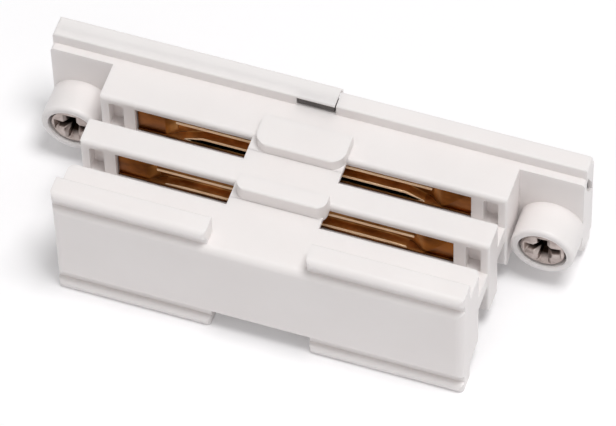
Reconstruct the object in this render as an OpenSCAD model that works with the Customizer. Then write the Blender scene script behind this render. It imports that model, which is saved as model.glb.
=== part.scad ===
// In-line joiner for surface mounted three-circuit lighting track.
// The joiner lies on one side, as it does on a bench: X runs along the track,
// -Y faces the open mouth of the track, +Y faces the track's back wall.
// Depths are measured from the back face towards -Y.

/* [Back plate] */
// Length of the back plate
plate_l = 68.4; // [67.5:0.1:70]
// Thickness of the back plate
plate_t = 3.9; // [3.6:0.1:4.1]
// Height of the plate, the ribs and the front block
body_h = 13.8; // [13.4:0.1:14.4]
// Thickness of the raised strips along the back
key_t = 2.9; // [2.7:0.1:3.2]
// Rise of the raised strips beyond the edges of the plate
key_rise = 1.7; // [1.5:0.1:2.2]
// Step in the back of the raised strips, on their right half
back_step = 0.65; // [0.5:0.05:0.8]

/* [Ribs and front block] */
// Length of the ribs and the front block
comb_l = 52; // [50.4:0.1:52.2]
// Depth of the rear rib's face
rear_face = 8.95; // [8.8:0.05:9.1]
// Width of the groove between the two ribs
rear_gap = 3.45; // [3.4:0.05:3.6]
// Thickness of the front rib
front_rib_t = 3.6; // [3.5:0.05:3.7]
// Width of the groove between the front rib and the block
front_gap = 3.4; // [3.3:0.05:3.6]
// Depth of the front block's flat face
block_face = 26.5; // [26.2:0.05:26.55]
// Thickness of the web that carries ribs and block
web_t = 2.6; // [2.2:0.1:2.8]

/* [Lips] */
// Rise of the snap lips above the body
lip_rise = 2.95; // [2.8:0.05:3.2]
// Depth of the back face of the lips
lip_back = 23.65; // [23.4:0.05:23.9]
// Distance of the lips from the middle
lip_start = 6.3; // [6:0.1:8]
// Depth of the tip of the lips
lip_front = 26.5; // [26.3:0.05:26.5]

/* [Contact windows] */
// Distance from the middle to the outer end of a window
window_end = 21.5; // [21.4:0.1:21.8]
// Width of the post beside each window
post_w = 1.5; // [1.2:0.1:1.6]
// Width of the small pocket beside the post
pocket_w = 1.9; // [1.7:0.1:2]
// Height of the wall above windows and pockets
lintel_h = 1; // [0.9:0.05:1.1]
// Depth of the windows behind the rib's face
window_d = 2.2; // [2.2:0.1:2.4]

/* [Contact strips] */
// Thickness of the copper strip
copper_t = 0.4; // [0.3:0.05:0.4]
// Depth of the strip's front behind the rib's face
strip_rec = 1.7; // [1.6:0.05:1.7]
// Depth of the pads behind the rib's face
pad_rec = 0.6; // [0.3:0.05:0.8]
// Depth of the folded edges behind the rib's face
fold_rec = 0.5; // [0.3:0.05:0.8]

/* [Middle clips] */
// Rise of the rear clips above the ribs
rear_clip_rise = 1.7; // [1.5:0.05:1.9]
// Rise of the front clips above the ribs
front_clip_rise = 2.25; // [2:0.05:2.4]
// Depth of the back face of the rear clips
rear_clip_back = 6.45; // [6.3:0.05:6.6]
// Depth of the front face of the rear clips
rear_clip_front = 10.9; // [10.7:0.05:11.1]
// Depth of the front face of the front clips
front_clip_front = 18.25; // [18:0.05:18.4]

/* [Screws] */
// Distance of the screws from the middle
screw_x = 30.35; // [30.3:0.05:30.5]
// Distance of the screws below the middle plane
screw_drop = 2.45; // [2.3:0.05:2.45]
// Outer diameter of the screw bosses
boss_d = 8.1; // [8:0.05:8.3]
// Depth of the rim of the bosses
boss_front = 8.5; // [8.4:0.05:8.8]
// Diameter of the bore for the screw head
head_bore_d = 6.25; // [6.2:0.05:6.3]
// Diameter of the screw head
head_d = 5.95; // [5.8:0.05:6]
// Diameter of the screw shank
shank_d = 3; // [2.8:0.1:3.1]

/* [Hidden] */
$fn = 48;

half_h = body_h / 2;
half_plate = plate_l / 2;
half_comb = comb_l / 2;
half_web = web_t / 2;
rest_z = half_h + lip_rise;
key_top = half_h + key_rise;
depth = max(block_face, lip_front);

front_rib_back = rear_face + rear_gap;
front_face = front_rib_back + front_rib_t;
block_back = front_face + front_gap;

window_top = half_h - lintel_h;
pocket_start = window_end + post_w;
pocket_end = pocket_start + pocket_w;
pocket_d = 1.6;
pocket_r = 0.35;

// Radii of moulded edges
plate_corner_r = 0.5;
key_corner_r = 0.4;
key_edge_r = 0.25;
rib_edge_r = 0.6;
rib_back_edge_r = 0.15;
rib_corner_r = 0.3;
block_corner_r = 1;
nose_r = 1;
boss_rim_r = 0.45;

// Overlap of solids that are joined, and overshoot of cuts
lap = 1;

// The web ends a little inside the ribs' ends
web_inset = 0.2;

// Section of the lips
lip_wall_front = 25.7;
bead_r = 0.8;
lip_corner_r = 0.8;
lip_edge_r = 0.25;
lip_root = 1.4;
lip_root_z = half_h - lip_root;

// Lids that bridge the grooves in the middle, and their supports
lid_t = 0.6;
support_half = 4.4;
rear_lid = [-6.2, 5.8];
front_lid = [-6, 5.7];

// Earth strip, the window that shows it and the slot that shows its bent end
earth_t = 0.6;
earth_left_d = 1.2;
earth_right_d = 0.03;
earth_low = 2.4;
earth_left_high = 8.15;
earth_right_high = 6.2;
earth_tab_low = -6.2;
earth_tab_x = 27;
earth_gap = 0.08;
earth_end_inset = 0.6;
earth_hole_play = 0.3;
slit_x = 2.25;
slit_w = 0.16;
slit_back = 0.4;
earth_window_w = 4.9;
earth_window_lintel = 0.3;
ramp_w = 1.6;
end_slot_depth = 1.2;
end_slot = [[2.5, 6.6], [0.6, 3.3], [0.46, 1.84], [1.33, 2.1], [2.76, 4.3], [2.88, 5.7]];
end_tab = [
    [2.4, 6.1], [0.6, 3.15], [0.3, 3.15], [0.3, 2.45], [1.3, 2.45], [2.62, 4.4], [2.7, 5.6]
];

// Contact strips: forms along one half, measured from the middle
contact_gap = 0.1;
strip_end = window_end - contact_gap;
pad_rise_start = 15.6;
pad_rise_end = 17.8;
pad_rise_steps = 10;
high_fold_end = 16.4;
low_fold_bend = 13;
low_fold_end = 15.4;
rear_folds = [4.8, 2.75];
front_folds = [4.45, 2];
foot_h = 0.3;
foot_rec = 0.3;

// Clips that close the grooves in the middle
clip_play = 0.07;
clip_seam = 0.03;
rear_cap = [-5.5, 5.8];
front_cap = [-5.4, 6];
cap_edge_r = 0.3;
rear_cap_corner_r = 1.7;
front_cap_corner_r = 1.2;

// Screw, nut and their seats
head_rec = 0.05;
head_t = 2.6;
dome_h = 0.5;
dome_r = (pow(head_d / 2, 2) + pow(dome_h, 2)) / (2 * dome_h);
head_play = 0.05;
recess_l = 4.3;
recess_w = 1.2;
recess_depth = 1.9;
recess_tip_r = 0.5;
recess_turn = 4;
recess_flare = 0.3;
recess_overshoot = 0.2;
shank_start = 0.3;
shank_point = 0.6;
shank_play = 0.2;
thread_play = 0.05;
nut_w = 5.5;
nut_t = 1.8;
nut_play = 0.04;

// Places a node so that it stands on the plane Z = 0 with its depth centred
module seat() {
    translate([0, depth / 2, rest_z]) children();
}

// Turns an outline in X and Z into a slab between two depths
module slab(d0, d1) {
    rotate([90, 0, 0]) translate([0, 0, d0]) linear_extrude(d1 - d0) children();
}

// Turns an outline in depth and Z into a bar between two X values
module bar(x0, x1) {
    translate([x0, 0, 0]) rotate([90, 0, 90]) linear_extrude(x1 - x0)
        mirror([1, 0]) children();
}

// Turns an outline in X and depth into a plate between two heights
module plan(z0, z1) {
    translate([0, 0, z0]) linear_extrude(z1 - z0) mirror([0, 1]) children();
}

// Puts a part that is drawn along Z on the depth axis of one screw
module at_screw(side) {
    translate([side * screw_x, 0, -screw_drop]) rotate([90, 0, 0]) children();
}

// Repeats a part at both ends
module both_ends() {
    children();
    mirror([1, 0, 0]) children();
}

// Repeats a part above and below the middle plane
module both_faces() {
    children();
    mirror([0, 0, 1]) children();
}

// Rectangle between two corners with round corners
module round_rect(x0, y0, x1, y1, r) {
    translate([x0 + r, y0]) square([x1 - x0 - 2 * r, y1 - y0]);
    translate([x0, y0 + r]) square([x1 - x0, y1 - y0 - 2 * r]);
    for (x = [x0 + r, x1 - r], y = [y0 + r, y1 - r])
        translate([x, y]) circle(r, $fn = 32);
}

// Section of a rib or block: back edges nearly sharp, front edges round
module rib_section(d0, d1, back_r, front_r) {
    middle = (d0 + d1) / 2;
    round_rect(d0, -half_h, middle + front_r, half_h, back_r);
    round_rect(middle - back_r, -half_h, d1, half_h, front_r);
}

module back_plate() {
    slab(0, plate_t)
        round_rect(-half_plate, -half_h, half_plate, half_h, plate_corner_r);
    intersection() {
        slab(0, key_t)
            round_rect(-half_plate, -key_top, half_plate, key_top, key_corner_r);
        bar(-half_plate, half_plate) round_rect(0, -key_top, key_t, key_top, key_edge_r);
    }
}

// Rib along X with rounded upright corners
module rib(d0, d1) {
    intersection() {
        bar(-half_comb, half_comb) rib_section(d0, d1, rib_back_edge_r, rib_edge_r);
        plan(-half_h, half_h) round_rect(-half_comb, d0, half_comb, d1, rib_corner_r);
    }
}

module ribs() {
    rib(plate_t - lap, rear_face);
    rib(front_rib_back, front_face);
    web_half = half_comb - web_inset;
    plan(-half_web, half_web)
        translate([-web_half, plate_t]) square([2 * web_half, block_back + lap - plate_t]);
}

// Lid between two depths with a narrower support below it, above the web
module lid(x_range, d0, d1, low) {
    plan(half_h - lid_t, half_h)
        translate([x_range[0], d0]) square([x_range[1] - x_range[0], d1 - d0]);
    plan(low, half_h)
        translate([-support_half, d0]) square([2 * support_half, d1 - d0]);
}

module bridges() {
    both_faces() {
        lid(rear_lid, rear_clip_front, front_rib_back + lap, 0);
        lid(front_lid, front_clip_front, block_back + lap, 0);
    }
}

// Front block between the lips, with a round nose above and below
module front_block() {
    intersection() {
        bar(-half_comb, half_comb)
            rib_section(block_back, block_face, rib_back_edge_r, nose_r);
        plan(-half_h, half_h)
            round_rect(-half_comb, block_back, half_comb, block_face, block_corner_r);
    }
}

// Section of a lip: a wall with a round bead that stands out in front
module lip_section() {
    bead_d = lip_front - bead_r;
    round_rect(lip_back, lip_root_z, lip_wall_front, rest_z, lip_edge_r);
    translate([lip_wall_front - bead_r, rest_z - 2 * bead_r])
        square([bead_d + bead_r - lip_wall_front, 2 * bead_r]);
    translate([bead_d, rest_z - bead_r]) circle(bead_r);
}

module lips() {
    both_ends() both_faces()
        intersection() {
            bar(lip_start, half_comb) lip_section();
            plan(lip_root_z, rest_z)
                round_rect(lip_start, lip_back - lap, half_comb, lip_front, lip_corner_r);
        }
}

module bosses() {
    for (side = [-1, 1])
        at_screw(side) translate([0, 0, plate_t - lap]) rotate_extrude($fn = 96) {
            reach = boss_front - plate_t + lap;
            square([boss_d / 2, reach - boss_rim_r]);
            square([boss_d / 2 - boss_rim_r, reach]);
            translate([boss_d / 2 - boss_rim_r, reach - boss_rim_r]) circle(boss_rim_r);
        }
}

// Openings of one rib: two windows joined behind the middle, and two pockets
module rib_openings(face) {
    both_faces() {
        slab(face - window_d, face + lap)
            translate([-window_end, half_web])
            square([2 * window_end, window_top - half_web]);
        both_ends()
            slab(face - pocket_d, face + lap)
            round_rect(pocket_start, half_web, pocket_end, window_top, pocket_r);
    }
}

// Path of the earth strip seen from above, from depth 0 to the strip's front
module earth_path(play) {
    left_front = earth_left_d + earth_t + play;
    right_front = earth_right_d + earth_t + play;
    end_x = half_plate - earth_end_inset + play;
    polygon([
        [-end_x, -lap], [-end_x, left_front], [slit_x, left_front],
        [slit_x + ramp_w, right_front], [end_x, right_front], [end_x, -lap]
    ]);
}

// Edge of the earth strip seen from the front: high on the left, low on the right,
// with one tab behind each screw
module earth_outline(play) {
    low = earth_low - play;
    translate([-half_plate, low])
        square([half_plate + slit_x, earth_left_high + play - low]);
    translate([-half_plate, low]) square([2 * half_plate, earth_right_high + play - low]);
    tab_half = screw_x - earth_tab_x + play;
    for (side = [-1, 1])
        translate([side * screw_x - tab_half, earth_tab_low - play])
            square([2 * tab_half, earth_low - earth_tab_low]);
}

module earth_recess() {
    intersection() {
        plan(-half_h, key_top) earth_path(earth_gap);
        slab(-lap, plate_t) earth_outline(earth_gap);
    }
}

// Window and slit in the raised strip
module earth_window() {
    slab(earth_left_d + earth_t, key_t + lap)
        translate([slit_x - earth_window_w, half_h])
        square([earth_window_w, key_rise - earth_window_lintel]);
    slab(slit_back, key_t + lap)
        translate([slit_x, half_h]) square([slit_w, key_rise + lap]);
}

module nut_seat_outline(play) {
    square(nut_w + 2 * play, center = true);
}

function nut_back(side) =
    earth_t + earth_gap + (side < 0 ? earth_left_d : earth_right_d);

module screw_cuts() {
    for (side = [-1, 1])
        at_screw(side) {
            translate([0, 0, -lap]) cylinder(d = shank_d + 2 * shank_play, h = boss_front, $fn = 64);
            translate([0, 0, boss_front - head_rec - head_t - head_play])
                cylinder(d = head_bore_d, h = boss_front, $fn = 96);
            translate([0, 0, -lap]) linear_extrude(nut_back(side) + nut_t + nut_play + lap)
                nut_seat_outline(nut_play);
        }
}

module housing() {
    color("#f1eeeb") seat() difference() {
        union() {
            back_plate();
            ribs();
            bridges();
            front_block();
            lips();
            bosses();
        }
        rib_openings(rear_face);
        rib_openings(front_face);
        earth_recess();
        earth_window();
        screw_cuts();
        both_faces() slab(-lap, back_step)
            translate([slit_x + slit_w, half_h]) square([half_plate, rest_z]);
        bar(half_plate - end_slot_depth, half_plate + lap) polygon(end_slot);
    }
}

// Blend from 0 to 1 with level ends
function blend(t) = let (s = min(1, max(0, t))) s * s * (3 - 2 * s);

// Depth of the strip's front behind the rib's face, at a distance from the middle
function strip_front_rec(x) =
    strip_rec
    + (pad_rec - strip_rec) * blend((x - pad_rise_start) / (pad_rise_end - pad_rise_start));

strip_xs = [
    0,
    for (i = [0:pad_rise_steps])
        pad_rise_start + (pad_rise_end - pad_rise_start) * i / pad_rise_steps,
    strip_end
];

// Strip seen from above, on one side of the middle
module strip_path(face) {
    polygon(concat(
        [for (x = strip_xs) [x, face - strip_front_rec(x)]],
        [for (i = [len(strip_xs) - 1:-1:0])
            [strip_xs[i], face - strip_front_rec(strip_xs[i]) - copper_t]]
    ));
}

// Folded edges seen from the front; the lower one turns down to the foot
module fold_outline(folds) {
    translate([0, folds[0] - copper_t]) square([high_fold_end, copper_t]);
    polygon([
        [0, folds[1]], [low_fold_bend, folds[1]],
        [low_fold_end, half_web + contact_gap + copper_t],
        [low_fold_end, half_web + contact_gap],
        [low_fold_bend, folds[1] - copper_t], [0, folds[1] - copper_t]
    ]);
}

// Contact strip: a sheet with a bent pad at each end, two folded edges and a foot
module contact(face, folds) {
    low = half_web + contact_gap;
    root = face - strip_rec - copper_t / 2;
    color("#8a5426") both_ends() {
        plan(low, window_top - contact_gap) strip_path(face);
        slab(root, face - fold_rec) fold_outline(folds);
        slab(root, face - foot_rec)
            translate([0, low]) square([pad_rise_end, foot_h]);
    }
}

module contact_upper_rear() {
    seat() contact(rear_face, rear_folds);
}

module contact_upper_front() {
    seat() contact(front_face, front_folds);
}

module contact_lower_rear() {
    seat() mirror([0, 0, 1]) contact(rear_face, rear_folds);
}

module contact_lower_front() {
    seat() mirror([0, 0, 1]) contact(front_face, front_folds);
}

// Head of a clip, with round corners in front
module cap(x_range, back, front, low, high, corner_r) {
    intersection() {
        bar(x_range[0], x_range[1]) {
            translate([back, low]) square([front - back - cap_edge_r, high - low]);
            translate([back, low]) square([front - back, high - low - cap_edge_r]);
            translate([front - cap_edge_r, high - cap_edge_r]) circle(cap_edge_r);
        }
        plan(low, high)
            round_rect(x_range[0], back - 2 * corner_r, x_range[1], front, corner_r);
    }
}

// Clip that closes a groove in the middle and holds the strip in its window
module clip(x_range, lid_range, back, face, front, rise, corner_r) {
    stem_back = face + clip_play;
    stem_front = front - clip_seam;
    color("#f4f1ee") {
        lid(lid_range, stem_back, stem_front, half_web + clip_play);
        cap(x_range, max(back, stem_back), stem_front, half_h - lid_t, half_h + rise, corner_r);
        if (back < face)
            cap(x_range, back, stem_front, half_h + clip_seam, half_h + rise, corner_r);
    }
}

module rear_clip() {
    clip(rear_cap, rear_lid, rear_clip_back, rear_face, rear_clip_front, rear_clip_rise,
        rear_cap_corner_r);
}

module front_clip() {
    clip(front_cap, front_lid, front_face, front_face, front_clip_front, front_clip_rise,
        front_cap_corner_r);
}

module clip_upper_rear() {
    seat() rear_clip();
}

module clip_upper_front() {
    seat() front_clip();
}

module clip_lower_rear() {
    seat() mirror([0, 0, 1]) rear_clip();
}

module clip_lower_front() {
    seat() mirror([0, 0, 1]) front_clip();
}

// Earth strip seen from above, with the step where it changes sides
module earth_band() {
    difference() {
        earth_path(0);
        translate([0, -earth_t]) earth_path(0);
        translate([-plate_l, -2 * lap]) square([2 * plate_l, 2 * lap + earth_right_d]);
    }
}

module earth_strip() {
    tab_back = half_plate - end_slot_depth + earth_gap;
    color("#a8a5a6") seat() difference() {
        union() {
            intersection() {
                plan(-half_h, key_top) earth_band();
                slab(0, plate_t) earth_outline(0);
            }
            bar(tab_back, half_plate - earth_end_inset) polygon(end_tab);
        }
        for (side = [-1, 1])
            at_screw(side) translate([0, 0, -lap])
                cylinder(d = shank_d + 2 * earth_hole_play, h = plate_t + lap);
    }
}

module nut(side) {
    color("#8d8c8c") seat() at_screw(side) translate([0, 0, nut_back(side)])
        difference() {
            linear_extrude(nut_t) nut_seat_outline(0);
            translate([0, 0, -lap]) cylinder(d = shank_d + 2 * thread_play, h = nut_t + 2 * lap, $fn = 64);
        }
}

module nut_left() {
    nut(-1);
}

module nut_right() {
    nut(1);
}

// Cross recess that gets deeper towards its middle
module cross_recess() {
    intersection() {
        translate([0, 0, -recess_depth])
            cylinder(
                r1 = recess_tip_r, r2 = recess_l / 2 + recess_flare,
                h = recess_depth + recess_overshoot
            );
        for (turn = [0, 90])
            rotate(turn + recess_turn) cube([recess_l, recess_w, 2 * recess_depth], center = true);
    }
}

module screw(side) {
    head_back = boss_front - head_rec - head_t;
    color("#b9b5b4") seat() at_screw(side) difference() {
        union() {
            translate([0, 0, shank_start])
                cylinder(d1 = shank_d - 2 * shank_point, d2 = shank_d, h = shank_point, $fn = 64);
            translate([0, 0, shank_start + shank_point])
                cylinder(d = shank_d, h = head_back - shank_start, $fn = 64);
            translate([0, 0, head_back]) rotate_extrude($fn = 96)
                intersection() {
                    square([head_d / 2, head_t]);
                    translate([0, head_t - dome_r]) circle(dome_r, $fn = 180);
                }
        }
        translate([0, 0, boss_front - head_rec]) cross_recess();
    }
}

module screw_left() {
    screw(-1);
}

module screw_right() {
    screw(1);
}

housing();
earth_strip();
contact_upper_rear();
contact_upper_front();
contact_lower_rear();
contact_lower_front();
clip_upper_rear();
clip_upper_front();
clip_lower_rear();
clip_lower_front();
nut_left();
nut_right();
screw_left();
screw_right();
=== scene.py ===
# In-line joiner for three-circuit lighting track, lying on its side on a pale floor
import math

import bmesh
import bpy
from mathutils import Matrix, Vector


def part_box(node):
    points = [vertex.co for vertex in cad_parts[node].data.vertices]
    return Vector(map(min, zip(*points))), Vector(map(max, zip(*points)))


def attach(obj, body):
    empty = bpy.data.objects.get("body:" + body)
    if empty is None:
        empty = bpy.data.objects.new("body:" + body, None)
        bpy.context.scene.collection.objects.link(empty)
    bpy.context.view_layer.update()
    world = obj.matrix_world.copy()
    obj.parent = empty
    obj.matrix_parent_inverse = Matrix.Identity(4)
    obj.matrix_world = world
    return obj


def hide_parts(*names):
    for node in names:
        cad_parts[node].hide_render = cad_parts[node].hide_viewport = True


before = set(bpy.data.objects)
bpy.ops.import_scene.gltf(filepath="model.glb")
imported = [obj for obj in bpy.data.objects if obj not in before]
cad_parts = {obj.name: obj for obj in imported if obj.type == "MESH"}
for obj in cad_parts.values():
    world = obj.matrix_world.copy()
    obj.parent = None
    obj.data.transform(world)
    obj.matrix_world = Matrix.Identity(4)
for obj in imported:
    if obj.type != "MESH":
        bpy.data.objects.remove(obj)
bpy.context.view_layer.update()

mm = 0.001
mergeGap = 0.002 * mm
print("frame loaded:", len(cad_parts), "nodes")


# Camera

camera = {
    "azimuth": 20.15,
    "elevation": 55.06,
    "roll": -2.05,
    "target": (1.91 * mm, 0.56 * mm, 9.07 * mm),
    "distance": 0.6363,
    "lens": 305.7,
    "sensorWidth": 36,
    "clip": (0.05, 10),
}


def makeCamera(settings):
    az, el, roll = (math.radians(settings[k]) for k in ("azimuth", "elevation", "roll"))
    forward = Vector((-math.sin(az) * math.cos(el), math.cos(az) * math.cos(el), -math.sin(el)))
    level = Vector((math.cos(az), math.sin(az), 0))
    upright = level.cross(forward)
    right = level * math.cos(roll) + upright * math.sin(roll)
    up = upright * math.cos(roll) - level * math.sin(roll)
    eye = Vector(settings["target"]) - forward * settings["distance"]
    data = bpy.data.cameras.new("camera")
    data.lens = settings["lens"]
    data.sensor_width = settings["sensorWidth"]
    data.clip_start, data.clip_end = settings["clip"]
    obj = bpy.data.objects.new("camera", data)
    bpy.context.scene.collection.objects.link(obj)
    turn = Matrix((right, up, -forward)).transposed().to_4x4()
    obj.matrix_world = Matrix.Translation(eye) @ turn
    bpy.context.scene.camera = obj


makeCamera(camera)
print("camera placed")


# Node graph helpers

def newMaterial(name):
    material = bpy.data.materials.new(name)
    material.use_nodes = True
    tree = material.node_tree
    return material, tree, tree.nodes["Principled BSDF"]


def addNode(tree, kind, **values):
    node = tree.nodes.new(kind)
    for key, value in values.items():
        setattr(node, key, value)
    return node


def objectPoint(tree, scale=(1, 1, 1)):
    coordinates = addNode(tree, "ShaderNodeTexCoord")
    mapping = addNode(tree, "ShaderNodeMapping")
    mapping.inputs["Scale"].default_value = scale
    tree.links.new(coordinates.outputs["Object"], mapping.inputs["Vector"])
    return mapping.outputs["Vector"]


def axisOf(tree, point, axis):
    axes = addNode(tree, "ShaderNodeSeparateXYZ")
    tree.links.new(point, axes.inputs["Vector"])
    return axes.outputs[axis]


def noise(tree, point, scale, detail, roughness=0.5):
    node = addNode(tree, "ShaderNodeTexNoise")
    node.inputs["Scale"].default_value = scale
    node.inputs["Detail"].default_value = detail
    node.inputs["Roughness"].default_value = roughness
    tree.links.new(point, node.inputs["Vector"])
    return node.outputs["Fac"]


def ramp(tree, factor, stops, dark, light):
    node = addNode(tree, "ShaderNodeValToRGB")
    for element, position, color in zip(node.color_ramp.elements, stops, (dark, light)):
        element.position = position
        element.color = (*color, 1)
    tree.links.new(factor, node.inputs["Fac"])
    return node.outputs["Color"]


def spread(tree, factor, low, high):
    node = addNode(tree, "ShaderNodeMapRange")
    node.inputs["To Min"].default_value = low
    node.inputs["To Max"].default_value = high
    tree.links.new(factor, node.inputs["Value"])
    return node.outputs["Result"]


def rise(tree, value, start, end, interpolation="LINEAR"):
    node = addNode(tree, "ShaderNodeMapRange", interpolation_type=interpolation)
    node.inputs["From Min"].default_value = start
    node.inputs["From Max"].default_value = end
    tree.links.new(value, node.inputs["Value"])
    return node.outputs["Result"]


def blend(tree, share, first, second):
    node = addNode(tree, "ShaderNodeMix", data_type="RGBA")
    tree.links.new(share, node.inputs["Factor"])
    tree.links.new(first, node.inputs["A"])
    tree.links.new(second, node.inputs["B"])
    return node.outputs["Result"]


def bump(tree, height, distance, strength):
    node = addNode(tree, "ShaderNodeBump")
    node.inputs["Distance"].default_value = distance
    node.inputs["Strength"].default_value = strength
    tree.links.new(height, node.inputs["Height"])
    return node.outputs["Normal"]


# White moulded plastic

plastic = {
    "dark": (0.87, 0.828, 0.815),
    "light": (0.9, 0.86, 0.847),
    "stops": (0.3, 0.7),
    "cloudScale": 90,
    "cloudDetail": 4,
    "roughness": (0.34, 0.44),
    "grainScale": 2600,
    "grainDetail": 2,
    "grainDepth": 0.02 * mm,
    "grainStrength": 0.35,
    "refraction": 1.52,
    "softness": 0.4,
    "softRadius": 1.3 * mm,
}


def makePlastic(name, settings):
    material, tree, shader = newMaterial(name)
    point = objectPoint(tree)
    clouds = noise(tree, point, settings["cloudScale"], settings["cloudDetail"])
    grain = noise(tree, point, settings["grainScale"], settings["grainDetail"])
    color = ramp(tree, clouds, settings["stops"], settings["dark"], settings["light"])
    normal = bump(tree, grain, settings["grainDepth"], settings["grainStrength"])
    tree.links.new(color, shader.inputs["Base Color"])
    tree.links.new(spread(tree, clouds, *settings["roughness"]), shader.inputs["Roughness"])
    tree.links.new(normal, shader.inputs["Normal"])
    shader.inputs["IOR"].default_value = settings["refraction"]
    shader.inputs["Subsurface Weight"].default_value = settings["softness"]
    shader.inputs["Subsurface Radius"].default_value = [settings["softRadius"]] * 3
    shader.inputs["Subsurface Scale"].default_value = 1
    return material


# Rolled metals, with fine lines along X; the copper turns darker and redder away from its middle

rolling = {
    "lineStretch": (0.06, 1, 1),
    "lineDetail": 3,
    "lineDepth": 0.01 * mm,
    "lineStrength": 0.3,
    "cloudStretch": (0.5, 1, 1),
    "cloudScale": 420,
    "cloudDetail": 5,
    "noiseRoughness": 0.6,
    "stops": (0.36, 0.64),
}

metals = {
    "copperStrip": {
        "dark": (0.32, 0.145, 0.04),
        "light": (0.7, 0.38, 0.145),
        "padDark": (0.14, 0.043, 0.006),
        "padLight": (0.29, 0.097, 0.014),
        "padStart": 15.5 * mm,
        "padEnd": 18 * mm,
        "roughness": (0.26, 0.44),
        "lines": 3000,
    },
    # painted shade: near-black copper for the front of the foot
    "footShadeCopper": {
        "dark": (0.05, 0.018, 0.006),
        "light": (0.14, 0.05, 0.014),
        "roughness": (0.4, 0.55),
        "lines": 3000,
    },
    # painted highlight: pale copper on the front of the folds
    "foldHighlightCopper": {
        "dark": (0.8, 0.55, 0.33),
        "light": (0.95, 0.74, 0.52),
        "roughness": (0.3, 0.45),
        "lines": 3000,
    },
    "earthSteel": {
        "dark": (0.27, 0.255, 0.25),
        "light": (0.37, 0.352, 0.346),
        "roughness": (0.35, 0.5),
        "lines": 2400,
    },
    "tongueSteel": {
        "dark": (0.1, 0.092, 0.09),
        "light": (0.2, 0.185, 0.18),
        "roughness": (0.35, 0.5),
        "lines": 2400,
    },
    "platedSteel": {
        "dark": (0.3, 0.25, 0.235),
        "light": (0.46, 0.4, 0.38),
        "roughness": (0.16, 0.28),
        "lines": 1800,
    },
}


def makeRolledMetal(name, own):
    settings = {**rolling, **own}
    material, tree, shader = newMaterial(name)
    streaks = noise(
        tree, objectPoint(tree, settings["lineStretch"]), settings["lines"],
        settings["lineDetail"], settings["noiseRoughness"])
    clouds = noise(
        tree, objectPoint(tree, settings["cloudStretch"]), settings["cloudScale"],
        settings["cloudDetail"], settings["noiseRoughness"])
    color = ramp(tree, clouds, settings["stops"], settings["dark"], settings["light"])
    # past padStart the copper blends into darker, redder tones towards its outer ends
    if "padDark" in settings:
        padColor = ramp(tree, clouds, settings["stops"], settings["padDark"], settings["padLight"])
        outwards = addNode(tree, "ShaderNodeMath", operation="ABSOLUTE")
        tree.links.new(axisOf(tree, objectPoint(tree), "X"), outwards.inputs[0])
        share = rise(
            tree, outwards.outputs[0], settings["padStart"], settings["padEnd"], "SMOOTHSTEP")
        color = blend(tree, share, color, padColor)
    normal = bump(tree, streaks, settings["lineDepth"], settings["lineStrength"])
    tree.links.new(color, shader.inputs["Base Color"])
    tree.links.new(spread(tree, streaks, *settings["roughness"]), shader.inputs["Roughness"])
    tree.links.new(normal, shader.inputs["Normal"])
    shader.inputs["Metallic"].default_value = 1
    return material


# Plated screw steel, with painted shade darkening the bottom of the recess

screwPlating = {
    "dark": (0.3, 0.245, 0.225),
    "light": (0.56, 0.49, 0.46),
    # painted shade colour for the bottom of the recess
    "pitShade": (0.02, 0.012, 0.008),
    "pitStart": 0.6 * mm,
    "pitEnd": 1.3 * mm,
    "stops": (0.3, 0.7),
    "cloudScale": 700,
    "cloudDetail": 4,
    "noiseRoughness": 0.6,
    "roughness": (0.2, 0.4),
    "grainDepth": 0.03 * mm,
    "grainStrength": 0.3,
}


def makeScrewSteel(name, faceY, settings):
    material, tree, shader = newMaterial(name)
    point = objectPoint(tree)
    clouds = noise(
        tree, point, settings["cloudScale"], settings["cloudDetail"], settings["noiseRoughness"])
    color = ramp(tree, clouds, settings["stops"], settings["dark"], settings["light"])
    # painted shade: deeper than pitStart the steel fades to near black
    share = rise(
        tree, axisOf(tree, point, "Y"), faceY + settings["pitStart"], faceY + settings["pitEnd"])
    pitShade = addNode(tree, "ShaderNodeRGB")
    pitShade.outputs[0].default_value = (*settings["pitShade"], 1)
    color = blend(tree, share, color, pitShade.outputs[0])
    normal = bump(tree, clouds, settings["grainDepth"], settings["grainStrength"])
    tree.links.new(color, shader.inputs["Base Color"])
    tree.links.new(spread(tree, clouds, *settings["roughness"]), shader.inputs["Roughness"])
    tree.links.new(normal, shader.inputs["Normal"])
    shader.inputs["Metallic"].default_value = 1
    return material


whitePlastic = makePlastic("whitePlastic", plastic)
metal = {name: makeRolledMetal(name, own) for name, own in metals.items()}
screwSteel = makeScrewSteel("screwSteel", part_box("screw_left")[0][1], screwPlating)

nodeMaterials = {
    "housing": whitePlastic,
    "clip": whitePlastic,
    "contact": metal["copperStrip"],
    "earth": metal["earthSteel"],
    "nut": metal["platedSteel"],
    "screw": screwSteel,
}

for name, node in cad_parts.items():
    node.data.materials.clear()
    node.data.materials.append(nodeMaterials[name.split("_")[0]])
print("materials made")


# Mesh helpers

def addBar(mesh, low, high):
    made = bmesh.ops.create_cube(mesh, size=1)["verts"]
    bmesh.ops.scale(mesh, vec=high - low, verts=made)
    bmesh.ops.translate(mesh, vec=(low + high) / 2, verts=made)


def softenEdges(mesh, edges, settings):
    bmesh.ops.bevel(
        mesh, geom=edges, offset=settings["edge"], offset_type="OFFSET",
        segments=settings["segments"], profile=0.5, affect="EDGES", material=-1)


def addObject(name, mesh, materials):
    data = bpy.data.meshes.new(name)
    mesh.to_mesh(data)
    mesh.free()
    for material in materials:
        data.materials.append(material)
    obj = bpy.data.objects.new(name, data)
    bpy.context.scene.collection.objects.link(obj)
    return obj


# Contact strips: copies of the solids with soft edges, whose foot runs on to the window's ends
# with its front
# # painted near black as shade, and whose folds carry a painted highlight along their front

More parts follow.
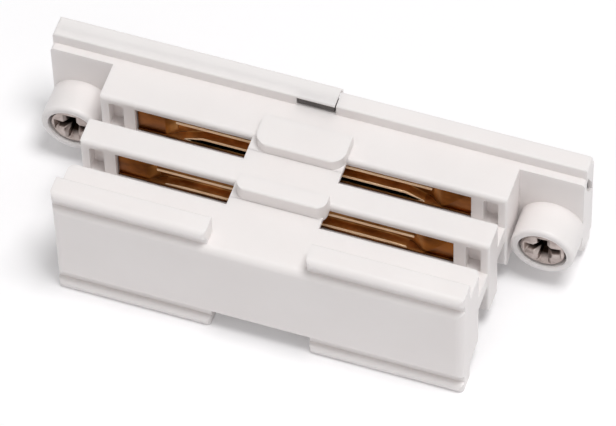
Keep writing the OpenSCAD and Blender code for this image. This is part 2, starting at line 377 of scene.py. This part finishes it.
strip = {
    "planeAngle": 0.6,
    "sharpAngle": 30,
    "edge": 0.1 * mm,
    "segments": 2,
    "footStart": 17.4 * mm,
    "footHeight": 0.3 * mm,
    "footFront": 0.03 * mm,
    "padFront": 0.35 * mm,
    "footReach": 0.2 * mm,
    "foldFront": (0.12 * mm, 0.28 * mm),
    "foldEnd": 16.6 * mm,
    "frontNormal": -0.3,
    "materials": ("copperStrip", "foldHighlightCopper", "footShadeCopper"),
}


def makeStrip(nodeName, settings):
    low, high = (Vector(corner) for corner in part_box(nodeName))
    footHeight = settings["footHeight"]
    footLow = low.z if "upper" in nodeName else high.z - footHeight
    mesh = bmesh.new()
    mesh.from_mesh(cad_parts[nodeName].data)
    bmesh.ops.remove_doubles(mesh, verts=mesh.verts, dist=mergeGap)
    bmesh.ops.dissolve_limit(
        mesh, angle_limit=math.radians(settings["planeAngle"]), verts=mesh.verts,
        edges=mesh.edges)
    for start, end in ((low.x, -settings["footStart"]), (settings["footStart"], high.x)):
        addBar(mesh,
               Vector((start, low.y + settings["footFront"], footLow)),
               Vector((end, low.y + settings["padFront"], footLow + footHeight)))
    sharp = math.radians(settings["sharpAngle"])
    edges = [e for e in mesh.edges if e.is_manifold and e.calc_face_angle(0) > sharp]
    softenEdges(mesh, edges, settings)
    bmesh.ops.recalc_face_normals(mesh, faces=mesh.faces)
    nearest, farthest = settings["foldFront"]
    foldHighlight = settings["materials"].index("foldHighlightCopper")
    footShade = settings["materials"].index("footShadeCopper")
    for face in mesh.faces:
        face.smooth = True
        if face.normal.y > settings["frontNormal"]:
            continue
        centre = face.calc_center_median()
        # the foot's front faces get near-black copper as painted shade
        if abs(centre.z - footLow - footHeight / 2) < settings["footReach"]:
            face.material_index = footShade
        # fold fronts get the pale copper as a painted highlight
        elif nearest < centre.y - low.y < farthest and abs(centre.x) < settings["foldEnd"]:
            face.material_index = foldHighlight
    obj = addObject(nodeName + "_strip", mesh, [metal[name] for name in settings["materials"]])
    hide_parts(nodeName)
    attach(obj, "joiner")


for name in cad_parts:
    if name.startswith("contact"):
        makeStrip(name, strip)
print("contact strips made")


# Cross-recess screws: a turned blank whose face is pressed in along a cross

screw = {
    "shank": 1.5 * mm,
    "point": 0.9 * mm,
    "headThickness": 2.6 * mm,
    "headGap": 0.14 * mm,
    "dome": 0.16 * mm,
    "rimRound": 0.22 * mm,
    "rimSteps": 4,
    "rings": 52,
    "steps": 192,
    "faceThickness": 0.7 * mm,
    "armReach": 2.35 * mm,
    "armHalfWidth": 1.04 * mm,
    "bevelSlope": 0.6,
    "pitHalfWidth": 0.64 * mm,
    "wallSlope": 5,
    "endSlope": 2.2,
    "centreReach": 1.5 * mm,
    "centreSlope": 1.5,
    "depth": 1.9 * mm,
    "turn": 3,
}


def recessDepth(settings, x, z):
    turn = math.radians(settings["turn"])
    along = abs(x * math.cos(turn) + z * math.sin(turn))
    across = abs(z * math.cos(turn) - x * math.sin(turn))
    depth = (settings["centreReach"] - math.hypot(x, z)) * settings["centreSlope"]
    pitStart = (settings["armHalfWidth"] - settings["pitHalfWidth"]) * settings["bevelSlope"]
    for length, width in ((along, across), (across, along)):
        bevel = (settings["armHalfWidth"] - width) * settings["bevelSlope"]
        wall = max(bevel, (settings["pitHalfWidth"] - width) * settings["wallSlope"] + pitStart)
        end = (settings["armReach"] - length) * settings["endSlope"]
        depth = max(depth, min(wall, end))
    return min(max(depth, 0), settings["depth"])


def screwProfile(settings, length, radius):
    headBack = length - settings["headThickness"]
    dome = settings["dome"]
    shank = settings["shank"]
    point = settings["point"]
    points = [(0, 0), (point, 0), (shank, shank - point), (shank, headBack), (radius, headBack)]
    rimRound = settings["rimRound"]
    rimSteps = settings["rimSteps"]
    rimTop = length - dome
    for i in range(rimSteps + 1):
        angle = math.radians(90) * i / rimSteps
        points.append((radius - rimRound * (1 - math.cos(angle)),
                       rimTop - rimRound * (1 - math.sin(angle))))
    flat = radius - rimRound
    for i in range(1, settings["rings"] + 1):
        r = flat * (1 - i / settings["rings"])
        points.append((r, rimTop + dome * (1 - (r / flat) ** 2)))
    return points


def makeScrew(nodeName, settings):
    low, high = (Vector(corner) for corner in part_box(nodeName))
    centre = (low + high) / 2
    radius = (high.x - low.x) / 2 - settings["headGap"]
    profile = screwProfile(settings, high.y - low.y, radius)
    mesh = bmesh.new()
    ring = [mesh.verts.new((centre.x + r, high.y - h, centre.z)) for r, h in profile]
    edges = [mesh.edges.new(pair) for pair in zip(ring, ring[1:])]
    bmesh.ops.spin(
        mesh, geom=ring + edges, cent=centre, axis=(0, 1, 0), angle=math.tau,
        steps=settings["steps"], use_merge=True)
    bmesh.ops.remove_doubles(mesh, verts=mesh.verts, dist=mergeGap)
    for vertex in mesh.verts:
        if vertex.co.y < low.y + settings["faceThickness"]:
            offset = vertex.co - centre
            vertex.co.y += recessDepth(settings, offset.x, offset.z)
    bmesh.ops.recalc_face_normals(mesh, faces=mesh.faces)
    for face in mesh.faces:
        face.smooth = True
    obj = addObject(nodeName + "_turned", mesh, [screwSteel])
    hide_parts(nodeName)
    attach(obj, nodeName)


for name in ("screw_left", "screw_right"):
    makeScrew(name, screw)
print("screws made")


# Bent end of the earth strip that fills the window in the raised strip

tongue = {
    "low": (-2.6 * mm, 10.5 * mm, 16.95 * mm),
    "high": (2.2 * mm, 11.4 * mm, 18.1 * mm),
    "edge": 0.12 * mm,
    "segments": 3,
}


def makeTongue(settings):
    mesh = bmesh.new()
    addBar(mesh, Vector(settings["low"]), Vector(settings["high"]))
    softenEdges(mesh, mesh.edges[:], settings)
    obj = addObject("earth_tongue", mesh, [metal["tongueSteel"]])
    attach(obj, "joiner")


makeTongue(tongue)
print("earth tongue made")


# Floor and world, both white to the camera and in reflections

ground = {
    "halfSize": 1.5,
    "color": (0.94, 0.93, 0.94),
    "roughness": 0.9,
    "glow": 0.12,
}

world = {
    "light": 0.42,
    "background": 1,
}


def backgroundRays(tree):
    path = addNode(tree, "ShaderNodeLightPath")
    seen = path.outputs["Is Camera Ray"]
    for other in ("Is Glossy Ray", "Is Transmission Ray"):
        either = addNode(tree, "ShaderNodeMath", operation="MAXIMUM")
        tree.links.new(seen, either.inputs[0])
        tree.links.new(path.outputs[other], either.inputs[1])
        seen = either.outputs[0]
    return seen


def makeFloor(settings):
    material, tree, shader = newMaterial("paleFloor")
    shader.inputs["Base Color"].default_value = (*settings["color"], 1)
    shader.inputs["Roughness"].default_value = settings["roughness"]
    shader.inputs["Specular IOR Level"].default_value = 0
    glow = addNode(tree, "ShaderNodeEmission")
    strength = spread(tree, backgroundRays(tree), 0, settings["glow"])
    tree.links.new(strength, glow.inputs["Strength"])
    both = addNode(tree, "ShaderNodeAddShader")
    tree.links.new(shader.outputs[0], both.inputs[0])
    tree.links.new(glow.outputs[0], both.inputs[1])
    tree.links.new(both.outputs[0], tree.nodes["Material Output"].inputs["Surface"])
    mesh = bmesh.new()
    bmesh.ops.create_grid(mesh, x_segments=1, y_segments=1, size=settings["halfSize"])
    addObject("floor", mesh, [material])


def makeWorld(settings):
    studio = bpy.data.worlds.new("studio")
    bpy.context.scene.world = studio
    studio.use_nodes = True
    tree = studio.node_tree
    background = tree.nodes["Background"]
    background.inputs["Color"].default_value = (1, 1, 1, 1)
    strength = spread(
        tree, backgroundRays(tree), settings["light"], settings["background"])
    tree.links.new(strength, background.inputs["Strength"])


# One soft lamp overhead

key = {
    "place": (0.18, -0.05, 0.775),
    "size": 0.26,
    "power": 3.55,
}


def makeLamp(name, settings):
    data = bpy.data.lights.new(name, "AREA")
    data.shape = "SQUARE"
    data.size = settings["size"]
    data.energy = settings["power"]
    lamp = bpy.data.objects.new(name, data)
    bpy.context.scene.collection.objects.link(lamp)
    lamp.location = settings["place"]
    lamp.rotation_mode = "QUATERNION"
    lamp.rotation_quaternion = (-Vector(settings["place"])).to_track_quat("-Z", "Y")


makeFloor(ground)
makeWorld(world)
makeLamp("key", key)
bpy.context.scene.view_settings.view_transform = "Standard"
print("floor, world and lamp made")
